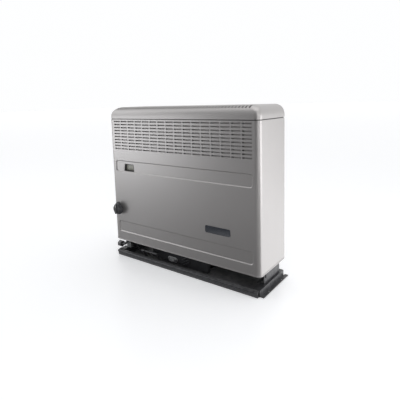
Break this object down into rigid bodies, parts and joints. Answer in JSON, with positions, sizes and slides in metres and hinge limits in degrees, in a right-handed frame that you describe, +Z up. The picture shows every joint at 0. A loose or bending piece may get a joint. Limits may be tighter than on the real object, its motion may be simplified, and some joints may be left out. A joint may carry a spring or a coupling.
{
  "type": "wall mounted gas heater",
  "caption": "Slim gas space heater: slotted sheet-metal casing and cap over a ribbed heat exchanger on a floor tray, with a turn-and-press control knob.",
  "frame": {"origin": "on the underside of the floor tray, in the middle of its width and halfway between the casing's front and rear edges", "axes": "+X to the right seen from the front, +Y towards the wall, +Z up"},
  "size_m": [0.489, 0.1656, 0.4375],
  "materials": {
    "silver_paint": "satin metallic silver paint",
    "charcoal_paint": "satin charcoal paint",
    "galvanised": "galvanised sheet",
    "aluminised_steel": "aluminised sheet steel",
    "dark_steel": "phosphated steel",
    "cast_aluminium": "as cast",
    "brass": "machined",
    "copper": "drawn copper tube",
    "black_plastic": "fine moulded grain",
    "white_ceramic": "glazed",
    "lead_rubber": "silicone sheath",
    "fibre_gasket": "pressed fibre",
    "sight_glass": "heat-proof glass"
  },
  "bodies": {
    "heater": {"base_tray": "charcoal_paint", "mounting_rail_right": "charcoal_paint", "mounting_rail_left": "charcoal_paint", "side_frame_right": "charcoal_paint", "side_frame_left": "charcoal_paint", "frame_screw_left_1": "dark_steel", "frame_screw_left_2": "dark_steel", "frame_screw_right_1": "dark_steel", "frame_screw_right_2": "dark_steel", "rear_panel": "galvanised", "wall_bracket_right": "galvanised", "wall_bracket_left": "galvanised", "wall_bracket_screw_left": "dark_steel", "wall_bracket_screw_right": "dark_steel", "panel_screw_left": "dark_steel", "panel_screw_right": "dark_steel", "exchanger_front_shell": "aluminised_steel", "exchanger_rear_shell": "aluminised_steel", "exchanger_bracket_right": "galvanised", "exchanger_bracket_left": "galvanised", "flue_gasket": "fibre_gasket", "flue_spigot": "cast_aluminium", "burner_plate": "aluminised_steel", "burner_box": "charcoal_paint", "inspection_cover": "cast_aluminium", "cover_screw_1": "dark_steel", "cover_screw_2": "dark_steel", "air_baffle": "charcoal_paint", "burner_tube": "aluminised_steel", "injector": "brass", "air_intake_collar": "charcoal_paint", "gas_valve": "cast_aluminium", "valve_bracket": "galvanised", "gland_nut": "brass", "ignition_switch": "black_plastic", "gas_inlet_pipe": "dark_steel", "inlet_union_nut": "dark_steel", "burner_feed_pipe": "copper", "thermocouple": "copper", "ignition_electrode": "white_ceramic", "igniter_box": "black_plastic", "igniter_cover": "black_plastic", "ignition_lead": "lead_rubber", "thermostat_bulb": "dark_steel", "bulb_bracket": "charcoal_paint", "casing_rest_right": "galvanised", "casing_rest_left": "galvanised", "casing_clip_right": "dark_steel", "casing_clip_left": "dark_steel", "front_casing": "silver_paint", "top_cap": "silver_paint", "window_frame": "black_plastic", "sight_glass": "sight_glass"},
    "valve_rotor": {"spindle_sleeve": "brass"},
    "knob": {"control_knob": "black_plastic", "knob_spindle": "dark_steel"},
    "switch_plunger": {"switch_plunger": "white_ceramic"}
  },
  "joints": [
    {"name": "knob_turn", "type": "hinge", "parent": "heater", "child": "valve_rotor", "pos_m": [-0.212, -0.05, 0.146], "axis": [0, -1, 0], "range_deg": [0, 240]},
    {"name": "knob_press", "type": "slide", "parent": "valve_rotor", "child": "knob", "axis": [0, 1, 0], "range_m": [0, 0.004], "stiffness_N_per_m": 1500, "springref_m": -0.002},
    {"name": "plunger_press", "type": "slide", "parent": "heater", "child": "switch_plunger", "axis": [0, 1, 0], "range_m": [0, 0.004]}
  ],
  "couplings": [
    {"joint": "plunger_press", "follows": "knob_press", "ratio": 1}
  ]
}
